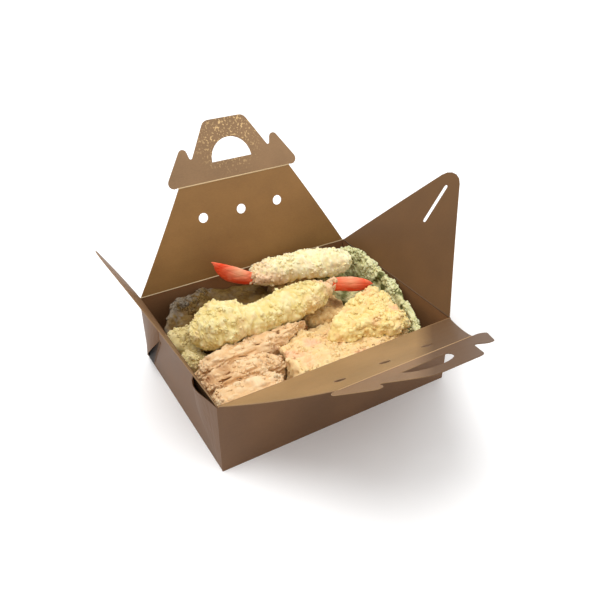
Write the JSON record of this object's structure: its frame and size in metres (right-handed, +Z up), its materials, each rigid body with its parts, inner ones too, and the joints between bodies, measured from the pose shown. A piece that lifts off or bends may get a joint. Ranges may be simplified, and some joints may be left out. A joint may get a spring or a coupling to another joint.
{
  "type": "open carry box of tempura",
  "caption": "Open kraft carry box with creased flaps and fold-out handles, filled with battered prawns, fritters, flaky sticks, vegetable slices and a leaf.",
  "frame": {"origin": "centre of the tray's underside, on the table", "axes": "+Z up, X along the two long walls, -Y towards the lowered front flap"},
  "size_m": [0.2847, 0.2807, 0.1754],
  "materials": {
    "kraft_board": "matte",
    "pale_batter": "matte",
    "flaky_batter": "matte",
    "prawn_tail": "satin",
    "leaf_batter": "matte",
    "vegetable_slice": "satin",
    "aubergine_slice": "satin"
  },
  "bodies": {
    "tray": {"tray": "kraft_board", "broad_slice": "vegetable_slice", "hidden_slice": "vegetable_slice", "aubergine_slice": "aubergine_slice", "green_slice": "leaf_batter", "pale_lump": "pale_batter", "slice_end": "vegetable_slice", "stick_1": "flaky_batter", "stick_2": "flaky_batter", "stick_3": "flaky_batter", "fritter_lower": "pale_batter", "fritter_upper": "pale_batter", "prawn_front": "pale_batter", "prawn_rear": "pale_batter", "tail_front": "prawn_tail", "tail_rear": "prawn_tail", "leaf": "leaf_batter"},
    "back_flap": {"back_flap": "kraft_board"},
    "back_handle": {"back_handle": "kraft_board"},
    "front_flap": {"front_flap": "kraft_board"},
    "front_handle": {"front_handle": "kraft_board"},
    "left_flap": {"left_flap": "kraft_board"},
    "right_flap": {"right_flap": "kraft_board"}
  },
  "joints": [
    {"name": "back_flap_crease", "type": "hinge", "parent": "tray", "child": "back_flap", "pos_m": [0, 0.0716, 0.0576], "axis": [1, 0, 0], "range_deg": [-78, 34]},
    {"name": "back_handle_crease", "type": "hinge", "parent": "back_flap", "child": "back_handle", "pos_m": [0, 0.08761, 0.13292], "axis": [-1, 0, 0], "range_deg": [-41, 56]},
    {"name": "front_flap_crease", "type": "hinge", "parent": "tray", "child": "front_flap", "pos_m": [0, -0.0716, 0.0576], "axis": [-1, 0, 0], "range_deg": [-33, 124.2]},
    {"name": "front_handle_crease", "type": "hinge", "parent": "front_flap", "child": "front_handle", "pos_m": [0, -0.13618, 0.09954], "axis": [1, 0, 0], "range_deg": [-30, 67.2]},
    {"name": "left_flap_crease", "type": "hinge", "parent": "tray", "child": "left_flap", "pos_m": [-0.09475, 0, 0.0576], "axis": [0, 1, 0], "range_deg": [-61, 70]},
    {"name": "right_flap_crease", "type": "hinge", "parent": "tray", "child": "right_flap", "pos_m": [0.09475, 0, 0.0576], "axis": [0, -1, 0], "range_deg": [-50, 42]}
  ]
}
